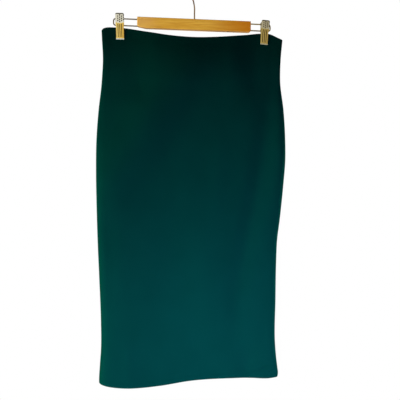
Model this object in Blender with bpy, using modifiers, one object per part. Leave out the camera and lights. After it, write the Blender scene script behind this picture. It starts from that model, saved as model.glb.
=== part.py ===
"""A pull-on pencil skirt hanging by its waist from a wooden clip hanger.

Metres, +Z up. The origin is the inside of the hook's crown, where a rail carries the hanger.
The skirt's front faces -Y, and left and right are as seen from the front.
"""

import math
from collections import namedtuple

import bmesh
import bpy
import numpy as np
from mathutils import Matrix, Vector

SEAM_GAP = 0.0003  # between pieces that meet
PART_NAME = "pencil skirt on clip hanger"

# ---- Cloth -----------------------------------------------------------------
CLOTH = 0.0014  # thick double knit
BAND_WALL = 0.0026  # the same knit folded round its elastic
BAND_PROUD = 0.0006  # the band stands this far out of the panels below it
BAND_HEIGHT = 0.027
SKIRT_LENGTH = 0.766  # the least drop from the waist's edge to the hem, at the middle
BAND_LEVEL = BAND_HEIGHT / SKIRT_LENGTH
PANEL_TOP_LEVEL = (BAND_HEIGHT + SEAM_GAP) / SKIRT_LENGTH
PANEL_COLUMNS = 44
PANEL_ROWS = 26
BAND_ROWS = 3
ROW_CROWDING = 0.35  # how much closer the rows lie at the waist and at the hem
SIDE_ROUND = 7.0  # 2 is an ellipse, and more is a tighter fold at the sides

# Where the photo's outline shows the sides: height, and distance from the hook's line.
SidePoint = namedtuple("SidePoint", "z x")
LEFT_SIDE = [
    SidePoint(-0.117, -0.2063),
    SidePoint(-0.145, -0.2050),
    SidePoint(-0.180, -0.2034),
    SidePoint(-0.233, -0.2060),
    SidePoint(-0.299, -0.2131),
    SidePoint(-0.365, -0.2174),
    SidePoint(-0.431, -0.2180),
    SidePoint(-0.497, -0.2168),
    SidePoint(-0.585, -0.2143),
    SidePoint(-0.673, -0.2105),
    SidePoint(-0.761, -0.2073),
    SidePoint(-0.815, -0.2070),
    SidePoint(-0.860, -0.2098),
    SidePoint(-0.885, -0.2113),
    SidePoint(-0.900, -0.2113),
]
RIGHT_SIDE = [
    SidePoint(-0.126, 0.2033),
    SidePoint(-0.153, 0.2007),
    SidePoint(-0.199, 0.1978),
    SidePoint(-0.225, 0.1974),
    SidePoint(-0.290, 0.2040),
    SidePoint(-0.359, 0.2072),
    SidePoint(-0.405, 0.2073),
    SidePoint(-0.451, 0.2037),
    SidePoint(-0.543, 0.1945),
    SidePoint(-0.589, 0.1887),
    SidePoint(-0.635, 0.1867),
    SidePoint(-0.726, 0.1853),
    SidePoint(-0.818, 0.1846),
    SidePoint(-0.860, 0.1883),
    SidePoint(-0.881, 0.1912),
    SidePoint(-0.891, 0.1924),
    SidePoint(-0.902, 0.1905),
]

# The waist's top edge sags between the clips and droops at the sides.
EdgePoint = namedtuple("EdgePoint", "x z")
WAIST_EDGE = [
    EdgePoint(-0.2063, -0.1228),
    EdgePoint(-0.2040, -0.1197),
    EdgePoint(-0.2005, -0.1176),
    EdgePoint(-0.195, -0.1160),
    EdgePoint(-0.180, -0.1151),
    EdgePoint(-0.154, -0.1161),
    EdgePoint(-0.110, -0.1222),
    EdgePoint(-0.065, -0.1283),
    EdgePoint(0.000, -0.1321),
    EdgePoint(0.060, -0.1282),
    EdgePoint(0.117, -0.1212),
    EdgePoint(0.152, -0.1164),
    EdgePoint(0.175, -0.1172),
    EdgePoint(0.190, -0.1236),
    EdgePoint(0.203, -0.1290),
]

# The hem's height across each panel, from -1 at the left side seam to 1 at the right one.
HemPoint = namedtuple("HemPoint", "across front back")
HEM_EDGE = [
    HemPoint(-1.00, -0.8945, -0.8945),
    HemPoint(-0.93, -0.8988, -0.8985),
    HemPoint(-0.85, -0.9020, -0.9000),
    HemPoint(-0.60, -0.9060, -0.9000),
    HemPoint(-0.35, -0.9042, -0.8992),
    HemPoint(0.00, -0.8973, -0.8985),
    HemPoint(0.40, -0.8966, -0.8990),
    HemPoint(0.70, -0.8994, -0.9000),
    HemPoint(0.90, -0.9018, -0.9010),
    HemPoint(1.00, -0.9003, -0.9003),
]

# How far each panel stands out from the side seams' plane, at three stations across, and
# how far back the side folds lie. Level is 0 at the waist's top edge and 1 at the hem.
DepthRow = namedtuple("DepthRow", "level front back left_fold right_fold")
DEPTH_STATIONS = (-1.0, 0.0, 1.0)
DEPTHS = [
    DepthRow(0.00, (0.0060, 0.0095, 0.0065), (0.0065, 0.0100, 0.0065), 0.000, 0.000),
    DepthRow(0.16, (0.0065, 0.0140, 0.0115), (0.0110, 0.0165, 0.0115), 0.000, 0.000),
    DepthRow(0.30, (0.0140, 0.0180, 0.0190), (0.0170, 0.0220, 0.0170), 0.000, 0.000),
    DepthRow(0.38, (0.0210, 0.0200, 0.0195), (0.0205, 0.0250, 0.0200), 0.001, 0.000),
    DepthRow(0.50, (0.0300, 0.0210, 0.0195), (0.0230, 0.0250, 0.0200), 0.001, 0.000),
    DepthRow(0.64, (0.0340, 0.0220, 0.0190), (0.0240, 0.0240, 0.0195), 0.002, 0.000),
    DepthRow(0.88, (0.0350, 0.0225, 0.0150), (0.0215, 0.0185, 0.0160), 0.004, 0.001),
    DepthRow(1.00, (0.0390, 0.0210, 0.0090), (0.0205, 0.0165, 0.0155), 0.006, 0.001),
]

# Soft folds: a line (x, z) down the cloth, how wide it is, and how far it rises or sinks.
Fold = namedtuple("Fold", "name face width rise line")
FOLD_TAPER = 1.2  # a fold that ends on the cloth fades towards its ends by this power
FOLDS = [
    Fold("trough under the right clip", "front", 0.023, -0.0048,
         ((0.168, -0.165), (0.166, -0.280), (0.157, -0.360), (0.139, -0.470), (0.121, -0.560),
          (0.101, -0.665), (0.086, -0.850))),
    Fold("ridge on that trough's right", "front", 0.018, 0.0025,
         ((0.194, -0.190), (0.196, -0.290), (0.192, -0.400), (0.178, -0.520), (0.160, -0.640))),
    Fold("wide ridge from the waist to the left hip", "front", 0.056, 0.0130,
         ((0.010, -0.100), (-0.035, -0.200), (-0.080, -0.270), (-0.115, -0.335), (-0.150, -0.400),
          (-0.185, -0.460), (-0.212, -0.560))),
    Fold("swell down to the hem's middle", "front", 0.050, 0.0035,
         ((0.020, -0.420), (0.022, -0.560), (0.024, -0.680), (0.030, -0.790), (0.034, -0.890))),
    Fold("dip at the right of the hem", "front", 0.026, -0.0030,
         ((0.125, -0.800), (0.120, -0.860), (0.118, -0.915))),
    Fold("trough under the left clip, behind", "back", 0.028, -0.0045,
         ((-0.150, -0.170), (-0.128, -0.330), (-0.108, -0.470), (-0.090, -0.600))),
    Fold("trough under the right clip, behind", "back", 0.028, -0.0045,
         ((0.148, -0.170), (0.122, -0.300), (0.086, -0.440), (0.064, -0.570))),
    Fold("ridge down the back's middle", "back", 0.052, 0.0040,
         ((-0.012, -0.300), (-0.004, -0.440), (0.012, -0.600), (0.030, -0.760))),
    Fold("swell at the back's left", "back", 0.044, 0.0050,
         ((-0.130, -0.600), (-0.120, -0.740), (-0.112, -0.915))),
    Fold("dip at the back's right", "back", 0.036, -0.0035,
         ((0.090, -0.700), (0.098, -0.810), (0.104, -0.915))),
]

# ---- Wire loops ------------------------------------------------------------
LOOP_WIRE = 0.0014  # radius
LOOP_TOP = -0.0950
LOOP_BOTTOM = -0.1100
LOOP_LEFT_END = -0.1800
LOOP_RIGHT_END = 0.1745
LOOP_CORNER = 0.005
LOOP_IN_BAR = 0.014

# ---- Clips -----------------------------------------------------------------
Clip = namedtuple("Clip", "side x lean tab_reach")
CLIPS = [
    Clip("left", -0.1666, math.radians(-1.4), 1.0),
    Clip("right", 0.1614, math.radians(3.4), 0.90),  # its tab is the shorter one
]
CLIP_PIVOT_Z = (LOOP_TOP + LOOP_BOTTOM) / 2
CLIP_SHEET = 0.0009
CLIP_HALF_WIDTH = 0.0086  # to the inner side of its cheeks
CLIP_NEST = 0.0012  # the back plate's cheeks go inside the front plate's
CHEEK_PAST_MIDDLE = 0.0016
CLIP_COLUMNS = 8
FLUTES = 4
FLUTE_DEPTH = 0.0006
FLUTE_TOP = -0.1079
FLUTE_BOTTOM = -0.1375
GRIP_Z = -0.128  # middle of the jaws' hold on the band
GRIP_FLAT = 0.0115  # the cloth lies flat this far to each side of a clip's middle
GRIP_EASE = 0.075  # and opens again over this width
GRIP_FADE = 0.150  # the pinch dies out this far below the band
GRIP_HALF = CLOTH + BAND_PROUD + SEAM_GAP / 2  # half the pinched skirt, at a panel's outer side
JAW_STAND = GRIP_HALF + BAND_PROUD + SEAM_GAP  # from the middle to a jaw's inner side

# A clip plate from its finger tab down to its lip: the inner side's distance from the middle,
# the width that it has there, and how far its cheek turns in.
PlateRow = namedtuple("PlateRow", "z stand width cheek")
PLATE = [
    PlateRow(-0.0856, 0.0088, 0.80, 0.0),
    PlateRow(-0.0865, 0.0092, 0.95, 0.0004),
    PlateRow(-0.0885, 0.0093, 1.00, 0.0008),
    PlateRow(-0.0945, 0.0088, 1.00, 0.0016),
    PlateRow(-0.0968, 0.0085, 1.00, 0.0022),
    PlateRow(-0.0975, 0.0084, 1.00, 0.0084 + CHEEK_PAST_MIDDLE),
    PlateRow(-0.1068, 0.0066, 1.00, 0.0066 + CHEEK_PAST_MIDDLE),
    PlateRow(-0.1080, 0.0062, 0.98, 0.0020),
    PlateRow(-0.1122, 0.0042, 0.96, 0.0006),
    PlateRow(-0.1157, JAW_STAND, 0.94, 0.0),
    PlateRow(-0.1382, JAW_STAND, 0.98, 0.0),
    PlateRow(-0.1397, JAW_STAND + 0.0003, 1.00, 0.0),
    PlateRow(-0.1424, JAW_STAND + 0.0016, 1.04, 0.0),
]
PLATE_RIM = 0.0005  # what the plate's edge strip keeps where no cheek turns in

SPRING_WIDTH = 0.010
SPRING_SHEET = 0.0007
SPRING_TOP = -0.0890
SPRING_BOTTOM = -0.1050
SPRING_STEPS = 12

# ---- Hanger ----------------------------------------------------------------
BAR_LENGTH = 0.2565
BAR_HEIGHT = 0.0241
BAR_THICKNESS = 0.012
BAR_TOP = -0.0903
BAR_ROUND = 0.0016
BAR_CORNER = 0.0040  # the rounding of the ends' lower corners
BAR_WANE = (0.020, 0.0036)  # the left end's shallow cut underneath: length and height
BAR_SHARP = math.radians(40)  # edges that turn more than this are rounded
HOLE_SIDES = 16

HOOK_WIRE = 0.0015  # radius
HOOK_RADIUS = 0.0215  # of the crook, at the wire's middle
HOOK_IN_BAR = 0.016
HOOK_JOIN_ANGLE = 232  # where the swan neck runs into the crook, in degrees
HOOK_TIP_ANGLE = -28
HOOK_STEP = 10
HOOK_SPACING = 2.5 * HOOK_WIRE  # between the points of the hook's line

# The hook's stem and swan neck, up from the bar: straight, then leaning to the left.
NeckPoint = namedtuple("NeckPoint", "x z")
NECK = [
    NeckPoint(0.0000, -0.0780),
    NeckPoint(0.0000, -0.0625),
    NeckPoint(-0.0012, -0.0550),
    NeckPoint(-0.0031, -0.0470),
    NeckPoint(-0.0070, -0.0415),
]


def curve_through(points, at):
    """Reads a smooth curve through (position, value) points, level past its ends."""
    points = sorted(points)
    positions = np.array([p[0] for p in points])
    values = np.array([p[1] for p in points])
    slopes = np.gradient(values, positions)
    at = min(max(at, positions[0]), positions[-1])
    i = min(max(int(np.searchsorted(positions, at)) - 1, 0), len(points) - 2)
    step = positions[i + 1] - positions[i]
    t = (at - positions[i]) / step
    from_start = (2 * t**3 - 3 * t**2 + 1) * values[i] + (t**3 - 2 * t**2 + t) * step * slopes[i]
    to_end = (3 * t**2 - 2 * t**3) * values[i + 1] + (t**3 - t**2) * step * slopes[i + 1]
    return float(from_start + to_end)


def ease(t):
    """0 to 1 with level ends."""
    t = min(max(t, 0.0), 1.0)
    return t * t * (3 - 2 * t)


def mix(a, b, share):
    return a + (b - a) * share


# ---- The skirt's form ------------------------------------------------------
def side_lines(level):
    """The x of the left and right sides at a level."""
    left_z = mix(LEFT_SIDE[0].z, HEM_EDGE[0].front, level)
    right_z = mix(RIGHT_SIDE[0].z, HEM_EDGE[-1].front, level)
    return curve_through(LEFT_SIDE, left_z), curve_through(RIGHT_SIDE, right_z)


def panel_depth(face, level, across):
    """How far a panel's outer side stands out at its middle line, before folds."""
    stations = []
    for i, station in enumerate(DEPTH_STATIONS):
        column = [(row.level, getattr(row, face)[i]) for row in DEPTHS]
        stations.append((station, curve_through(column, level)))
    return curve_through(stations, across)


def grip(x, z):
    """1 where a clip holds the cloth flat, and 0 where it hangs free."""
    held = 0.0
    for clip in CLIPS:
        jaw_x = clip.x + math.tan(clip.lean) * (GRIP_Z - CLIP_PIVOT_Z)
        beside = 1 - ease((abs(x - jaw_x) - GRIP_FLAT) / GRIP_EASE)
        band_foot = curve_through(WAIST_EDGE, jaw_x) - BAND_HEIGHT
        below = 1 - ease((band_foot - z) / GRIP_FADE)
        held = max(held, beside * below)
    return held


def fold_rise(face, x, z):
    """What the soft folds add to a panel's depth at a place."""
    rise = 0.0
    for fold in FOLDS:
        top, foot = fold.line[0][1], fold.line[-1][1]
        if fold.face != face or z > top or z < foot:
            continue
        along = (top - z) / (top - foot)
        middle = curve_through([(point[1], point[0]) for point in fold.line], z)
        reach = math.exp(-(((x - middle) / fold.width) ** 2))
        runs_off_hem = foot < HEM_EDGE[0].front
        fade = ease(2 * along) if runs_off_hem else math.sin(math.pi * along) ** FOLD_TAPER
        rise += fold.rise * reach * fade
    return rise


def skirt_point(face, turn, level, inset):
    """A point of the skirt's surface, moved in by inset from the panels' outer side.

    Turn runs from 0 at the left side seam to 1 at the right one, and level from 0 at the
    waist's top edge to 1 at the hem.
    """
    across = -math.cos(math.pi * turn)
    cap = max(1 - abs(across) ** SIDE_ROUND, 0.0) ** (1 / SIDE_ROUND)
    left, right = side_lines(level)
    x = (left + right) / 2 + across * ((right - left) / 2 - inset)
    hem = curve_through([(point.across, getattr(point, face)) for point in HEM_EDGE], across)
    z = mix(curve_through(WAIST_EDGE, x), hem, level)
    held = grip(x, z)
    free = panel_depth(face, level, across) - inset + fold_rise(face, x, z)
    depth = mix(free * cap, GRIP_HALF - inset, held)
    left_fold = curve_through([(row.level, row.left_fold) for row in DEPTHS], level)
    right_fold = curve_through([(row.level, row.right_fold) for row in DEPTHS], level)
    seam_y = mix(left_fold, right_fold, (across + 1) / 2)
    out = -1 if face == "front" else 1
    return x, seam_y + out * (depth + SEAM_GAP / 2), z


# ---- Blender helpers -------------------------------------------------------
def clear_scene():
    for obj in list(bpy.data.objects):
        bpy.data.objects.remove(obj)


def new_collection(name):
    collection = bpy.data.collections.new(name)
    bpy.context.scene.collection.children.link(collection)
    return collection


def finish(name, colour, roughness, metallic=0.0, sheen=0.0):
    """A material for one kind of surface."""
    material = bpy.data.materials.new(name)
    material.use_nodes = True
    material.diffuse_color = (*colour, 1)
    shader = material.node_tree.nodes["Principled BSDF"]
    shader.inputs["Base Color"].default_value = (*colour, 1)
    shader.inputs["Roughness"].default_value = roughness
    shader.inputs["Metallic"].default_value = metallic
    shader.inputs["Sheen Weight"].default_value = sheen
    return material


def mesh_object(name, bm, collection, material=None):
    mesh = bpy.data.meshes.new(name)
    bm.to_mesh(mesh)
    bm.free()
    mesh.shade_smooth()
    if material:
        mesh.materials.append(material)
    obj = bpy.data.objects.new(name, mesh)
    collection.objects.link(obj)
    return obj


def sheet(name, columns, rows, place, wall, material, faces_back=False):
    """A grid whose points place(u, v) sets, u to the right and v down, with an outward wall."""
    bm = bmesh.new()
    bmesh.ops.create_grid(bm, x_segments=columns, y_segments=rows, size=1)
    for vert in bm.verts:
        vert.co = place((vert.co.x + 1) / 2, (1 - vert.co.y) / 2)
    if faces_back:
        bmesh.ops.reverse_faces(bm, faces=bm.faces)
    obj = mesh_object(name, bm, parts, material)
    solidify = obj.modifiers.new("wall", "SOLIDIFY")
    solidify.thickness = wall
    solidify.offset = 1
    solidify.use_even_offset = True


def wire(name, points, radius, material):
    """A round wire through points, with closed ends."""
    curve = bpy.data.curves.new(name, "CURVE")
    curve.dimensions = "3D"
    curve.bevel_depth = radius
    curve.bevel_resolution = 2
    curve.use_fill_caps = True
    spline = curve.splines.new("POLY")
    spline.points.add(len(points) - 1)
    for spot, point in zip(spline.points, points):
        spot.co = (*point, 1)
    curve.materials.append(material)
    parts.objects.link(bpy.data.objects.new(name, curve))


def arc(centre, radius, start, end, steps):
    """Points (x, z) along an arc, with its angles in degrees."""
    for i in range(steps + 1):
        angle = math.radians(mix(start, end, i / steps))
        yield centre[0] + radius * math.cos(angle), centre[1] + radius * math.sin(angle)


# ---- The garment -----------------------------------------------------------
def row_spread(v):
    """Rows lie closer together at the waist and at the hem."""
    return mix(v, (1 - math.cos(math.pi * v)) / 2, ROW_CROWDING)


def skirt_panel(face, material):
    def place(u, v):
        return skirt_point(face, u, mix(PANEL_TOP_LEVEL, 1, row_spread(v)), CLOTH)

    sheet(f"skirt_{face}", PANEL_COLUMNS, PANEL_ROWS, place, CLOTH, material, face == "back")


def waistband_half(face, material):
    def place(u, v):
        return skirt_point(face, u, BAND_LEVEL * v, BAND_WALL - BAND_PROUD)

    sheet(f"waistband_{face}", PANEL_COLUMNS, BAND_ROWS, place, BAND_WALL, material, face == "back")


# ---- The clips -------------------------------------------------------------
def on_clip(clip, x, y, z):
    """A clip's own point, leaned about its pivot between the wires and moved to its place."""
    leaned = Matrix.Rotation(clip.lean, 3, "Y") @ Vector((x, y, z - CLIP_PIVOT_Z))
    return leaned + Vector((clip.x, 0, CLIP_PIVOT_Z))


def clip_plate(clip, face, material):
    """A pressed plate: finger tab, cheeks that meet between the wires, fluted jaw and lip."""
    nest = CLIP_NEST if face == "back" else 0.0
    out = 1 if face == "back" else -1

    def place(u, v):
        row = PLATE[round(v * (len(PLATE) - 1))]
        column = round(u * (CLIP_COLUMNS + 2)) - 1
        across = 2 * min(max(column / CLIP_COLUMNS, 0), 1) - 1
        x = across * (CLIP_HALF_WIDTH - nest) * row.width
        y = row.stand
        if not 0 <= column <= CLIP_COLUMNS:
            x += 0.0 if row.cheek else math.copysign(PLATE_RIM, across)
            y -= row.cheek
        elif FLUTE_BOTTOM <= row.z <= FLUTE_TOP:
            y += FLUTE_DEPTH * (1 - math.cos(math.pi * FLUTES * (across + 1))) / 2
        z = mix(FLUTE_TOP, row.z, clip.tab_reach) if row.z > FLUTE_TOP else row.z
        return on_clip(clip, x, out * y, z)

    name = f"clip_{clip.side}_{face}_plate"
    sheet(name, CLIP_COLUMNS + 2, len(PLATE) - 1, place, CLIP_SHEET, material, face == "back")


def clip_spring(clip, material):
    """A bent strip between the plates, round and under the upper wire."""
    stand = curve_through([(row.z, row.stand) for row in PLATE], SPRING_TOP)
    spread = stand - SEAM_GAP - SPRING_SHEET

    def place(u, v):
        angle = math.pi * v
        z = mix(SPRING_TOP, SPRING_BOTTOM, math.sin(angle))
        return on_clip(clip, SPRING_WIDTH * (u - 0.5), -spread * math.cos(angle), z)

    sheet(f"clip_{clip.side}_spring", 1, SPRING_STEPS, place, SPRING_SHEET, material)


# ---- The hanger ------------------------------------------------------------
def hole_cutter(name, radius, length, place, axis):
    """A round cutter as long as length, centred on place, along X or Z."""
    bm = bmesh.new()
    bmesh.ops.create_cone(
        bm, cap_ends=True, segments=HOLE_SIDES, radius1=radius, radius2=radius, depth=length
    )
    turned = Matrix.Rotation(math.pi / 2, 4, "Y") if axis == "X" else Matrix.Identity(4)
    bmesh.ops.transform(bm, matrix=Matrix.Translation(place) @ turned, verts=bm.verts)
    cutter = mesh_object(name, bm, cutters)
    cutter.hide_render = True
    cutter.display_type = "WIRE"
    return cutter


def bar_holes():
    """Blind holes for the wire loops in the bar's ends, and for the hook in its top."""
    loop_hole = LOOP_WIRE + SEAM_GAP
    depth = 2 * (LOOP_IN_BAR + SEAM_GAP)
    for side, end in (("left", -BAR_LENGTH / 2), ("right", BAR_LENGTH / 2)):
        for strand, z in (("top", LOOP_TOP), ("bottom", LOOP_BOTTOM)):
            yield hole_cutter(f"hole_{side}_{strand}", loop_hole, depth, (end, 0, z), "X")
    depth = 2 * (HOOK_IN_BAR + SEAM_GAP)
    yield hole_cutter("hole_hook", HOOK_WIRE + SEAM_GAP, depth, (0, 0, BAR_TOP), "Z")


def hanger_bar(material):
    foot = BAR_TOP - BAR_HEIGHT
    left = -BAR_LENGTH / 2
    bm = bmesh.new()
    bmesh.ops.create_cube(bm, size=1)
    bmesh.ops.scale(bm, vec=(BAR_LENGTH, BAR_THICKNESS, BAR_HEIGHT), verts=bm.verts)
    bmesh.ops.translate(bm, vec=(0, 0, BAR_TOP - BAR_HEIGHT / 2), verts=bm.verts)
    length, height = BAR_WANE
    geometry = bm.verts[:] + bm.edges[:] + bm.faces[:]
    cut = bmesh.ops.bisect_plane(
        bm, geom=geometry, plane_co=(left, 0, foot + height), plane_no=(-height, 0, -length),
        clear_outer=True,
    )
    rim = [item for item in cut["geom_cut"] if isinstance(item, bmesh.types.BMEdge)]
    bmesh.ops.edgenet_fill(bm, edges=rim)
    bmesh.ops.recalc_face_normals(bm, faces=bm.faces)
    lower = [
        edge for edge in bm.edges
        if all(abs(v.co.x) > BAR_LENGTH / 2 - BAR_ROUND and v.co.z < foot + BAR_CORNER
               for v in edge.verts)
    ]
    bevel = {"affect": "EDGES", "profile": 0.5, "clamp_overlap": True, "material": -1}
    bmesh.ops.bevel(bm, geom=lower, offset=BAR_CORNER, segments=4, **bevel)
    sharp = [edge for edge in bm.edges if edge.calc_face_angle() > BAR_SHARP]
    bmesh.ops.bevel(bm, geom=sharp, offset=BAR_ROUND, segments=2, **bevel)
    bar = mesh_object("hanger_bar", bm, parts, material)
    for cutter in bar_holes():
        boolean = bar.modifiers.new(cutter.name, "BOOLEAN")
        boolean.operation = "DIFFERENCE"
        boolean.object = cutter


def wire_loop(side, end, material):
    """One wire out of the bar along the top, round the end and back in below."""
    out = math.copysign(1, end)
    inner = out * (BAR_LENGTH / 2 - LOOP_IN_BAR)
    turn_x = end - out * LOOP_CORNER
    upper = arc((abs(turn_x), LOOP_TOP - LOOP_CORNER), LOOP_CORNER, 90, 0, 4)
    lower = arc((abs(turn_x), LOOP_BOTTOM + LOOP_CORNER), LOOP_CORNER, 0, -90, 4)
    bend = [(out * x, 0, z) for x, z in [*upper, *lower]]
    points = [(inner, 0, LOOP_TOP), *bend, (inner, 0, LOOP_BOTTOM)]
    wire(f"wire_loop_{side}", points, LOOP_WIRE, material)


def hanger_hook(material):
    """Stem, swan neck and crook, in the hanger's own plane."""
    centre = (0, HOOK_WIRE - HOOK_RADIUS)
    steps = (HOOK_JOIN_ANGLE - HOOK_TIP_ANGLE) // HOOK_STEP
    crook = list(arc(centre, HOOK_RADIUS, HOOK_JOIN_ANGLE, HOOK_TIP_ANGLE, steps))
    route = [(point.x, point.z) for point in NECK] + crook
    along = np.concatenate([[0], np.cumsum([math.dist(a, b) for a, b in zip(route, route[1:])])])
    reads = [list(zip(along, axis)) for axis in zip(*route)]
    count = round(along[-1] / HOOK_SPACING)
    smooth = []
    for i in range(count + 1):
        at = along[-1] * i / count
        smooth.append((curve_through(reads[0], at), 0, curve_through(reads[1], at)))
    wire("hanger_hook", [(0, 0, BAR_TOP - HOOK_IN_BAR), *smooth], HOOK_WIRE, material)


# ---- The whole part --------------------------------------------------------
clear_scene()
parts = new_collection(PART_NAME)
cutters = new_collection("cutters")

knit = finish("bottle green double knit", (0.004, 0.045, 0.045), 0.85, sheen=0.2)
band_knit = finish("bottle green band", (0.003, 0.030, 0.030), 0.85, sheen=0.2)
wood = finish("varnished lotus wood", (0.55, 0.29, 0.06), 0.35)
plated = finish("nickel plated steel", (0.62, 0.60, 0.55), 0.22, metallic=1.0)
spring_steel = finish("spring steel", (0.35, 0.35, 0.36), 0.35, metallic=1.0)

for panel_face in ("front", "back"):
    skirt_panel(panel_face, knit)
    waistband_half(panel_face, band_knit)

hanger_bar(wood)
hanger_hook(plated)
wire_loop("left", LOOP_LEFT_END, plated)
wire_loop("right", LOOP_RIGHT_END, plated)

for hanger_clip in CLIPS:
    clip_plate(hanger_clip, "front", plated)
    clip_plate(hanger_clip, "back", plated)
    clip_spring(hanger_clip, spring_steel)
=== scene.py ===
import bisect
import math

import bmesh
import bpy
import numpy as np
from mathutils import Matrix, Vector, noise


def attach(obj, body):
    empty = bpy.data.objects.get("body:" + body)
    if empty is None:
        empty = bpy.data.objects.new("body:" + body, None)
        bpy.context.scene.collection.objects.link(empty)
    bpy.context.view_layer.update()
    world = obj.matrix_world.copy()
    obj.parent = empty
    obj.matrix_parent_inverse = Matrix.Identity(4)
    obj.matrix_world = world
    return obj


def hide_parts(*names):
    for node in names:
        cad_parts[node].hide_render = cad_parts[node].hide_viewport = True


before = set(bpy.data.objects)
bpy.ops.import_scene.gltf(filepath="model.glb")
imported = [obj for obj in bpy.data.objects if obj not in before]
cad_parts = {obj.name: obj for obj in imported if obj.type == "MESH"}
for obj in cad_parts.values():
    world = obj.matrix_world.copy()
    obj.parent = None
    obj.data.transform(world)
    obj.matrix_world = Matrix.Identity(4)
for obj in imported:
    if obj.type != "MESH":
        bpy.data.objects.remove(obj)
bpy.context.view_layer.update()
scene = bpy.context.scene
print("frame loaded:", len(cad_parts), "solids")


def mix(a, b, share):
    return a + (b - a) * share


def ease(t):  # 0 to 1 with level ends
    t = min(max(t, 0.0), 1.0)
    return t * t * (3 - 2 * t)


def smoothCurve(points):  # reads a smooth curve through (position, value), level past its ends
    points = sorted(points)
    spots = [float(point[0]) for point in points]
    values = [float(point[1]) for point in points]
    slopes = [float(slope) for slope in np.gradient(values, spots)]

    def read(at):
        at = min(max(at, spots[0]), spots[-1])
        i = min(max(bisect.bisect_right(spots, at) - 1, 0), len(spots) - 2)
        step = spots[i + 1] - spots[i]
        t = (at - spots[i]) / step
        start = (2 * t**3 - 3 * t**2 + 1) * values[i] + (t**3 - 2 * t**2 + t) * step * slopes[i]
        end = (3 * t**2 - 2 * t**3) * values[i + 1] + (t**3 - t**2) * step * slopes[i + 1]
        return start + end

    return read


def straightCurve(points):  # reads straight lines between (position, value) points
    points = sorted(points)
    spots = [point[0] for point in points]
    values = [point[1] for point in points]
    return lambda at: float(np.interp(at, spots, values))


view = {
    "place": (-0.1596, -1.2902, -0.4960),
    "turn": -7.6,  # degrees about Z, to the right of straight ahead
    "lens": 52.0,  # mm
    "sensor": 36.0,  # mm
}


def addCamera():
    camera = bpy.data.cameras.new("camera")
    camera.lens = view["lens"]
    camera.sensor_width = view["sensor"]
    camera.clip_start = 0.01
    eye = bpy.data.objects.new("camera", camera)
    eye.location = view["place"]
    eye.rotation_euler = (math.radians(90), 0, math.radians(view["turn"]))
    scene.collection.objects.link(eye)
    scene.camera = eye


addCamera()
print("camera set")


def hexColour(code):  # sRGB hex to linear RGBA
    parts = [int(code[i:i + 2], 16) / 255 for i in (0, 2, 4)]
    linear = [c / 12.92 if c <= 0.04045 else ((c + 0.055) / 1.055) ** 2.4 for c in parts]
    return (*linear, 1.0)


def addNode(tree, kind, inputs=None, **settings):
    made = tree.nodes.new(kind)
    for key, value in settings.items():
        setattr(made, key, value)
    for key, value in (inputs or {}).items():
        if isinstance(value, bpy.types.NodeSocket):
            tree.links.new(value, made.inputs[key])
        else:
            made.inputs[key].default_value = value
    return made


def newMaterial(name, **sockets):  # a Principled material with its plain sockets set
    material = bpy.data.materials.new(name)
    material.use_nodes = True
    tree = material.node_tree
    shader = tree.nodes["Principled BSDF"]
    for key, value in sockets.items():
        shader.inputs[key.replace("_", " ")].default_value = value
    return material, tree, shader


def blendColour(tree, share, first, second):  # colours may be sockets or values
    made = addNode(tree, "ShaderNodeMix", data_type="RGBA")
    for socket, value in ((made.inputs[0], share), (made.inputs[6], first), (made.inputs[7], second)):
        if isinstance(value, bpy.types.NodeSocket):
            tree.links.new(value, socket)
        else:
            socket.default_value = value
    return made.outputs[2]


def ramp(tree, value, *stops):  # stops are (position, colour or grey)
    made = addNode(tree, "ShaderNodeValToRGB", {"Fac": value})
    made.color_ramp.interpolation = "EASE"
    points = made.color_ramp.elements
    while len(points) < len(stops):
        points.new(0.5)
    for point, (place, colour) in zip(points, stops):
        point.position = place
        point.color = colour if isinstance(colour, tuple) else (colour, colour, colour, 1)
    return made.outputs["Color"]


def maths(tree, operation, *values):
    inputs = dict(enumerate(values))
    return addNode(tree, "ShaderNodeMath", inputs, operation=operation).outputs[0]


def stretched(tree, source, scale):  # coordinates times a scale, for a pattern in metres
    return addNode(tree, "ShaderNodeMapping", {"Vector": source, "Scale": scale}).outputs[0]


def noiseOn(tree, vector, scale, detail=2.0, roughness=0.5):
    inputs = {"Vector": vector, "Scale": scale, "Detail": detail, "Roughness": roughness}
    return addNode(tree, "ShaderNodeTexNoise", inputs).outputs["Fac"]


def bumpFrom(tree, height, depth, strength=1.0):  # depth in metres
    inputs = {"Height": height, "Distance": depth, "Strength": strength}
    return addNode(tree, "ShaderNodeBump", inputs).outputs[0]


knit = {
    "deep": "001c1b", "light": "012221",  # piece-dyed bottle green, shade to shade
    "bandShadedDeep": "001614", "bandShadedLight": "011a19",  # painted shade: darker than the panels, for the shade at the waist
    "paintedWaistShade": 0.075,  # m, how far down the panels the painted shade of the waist reaches
    "wale": 0.0011,  # m, real is about 0.7: coarser, so that it can be read close up
    "course": 0.0009,
    "fuzz": 0.0022,
    "mottle": 0.045,
    "relief": 0.00007,
    "lean": 1.6,  # how far a stitch's legs lean, against the course
    "stitchShare": 0.35, "fuzzShare": 0.8,  # heights, against the wale's
    "mottleShare": 0.7,  # of the change of shade, and the fuzz makes the rest
}


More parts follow.
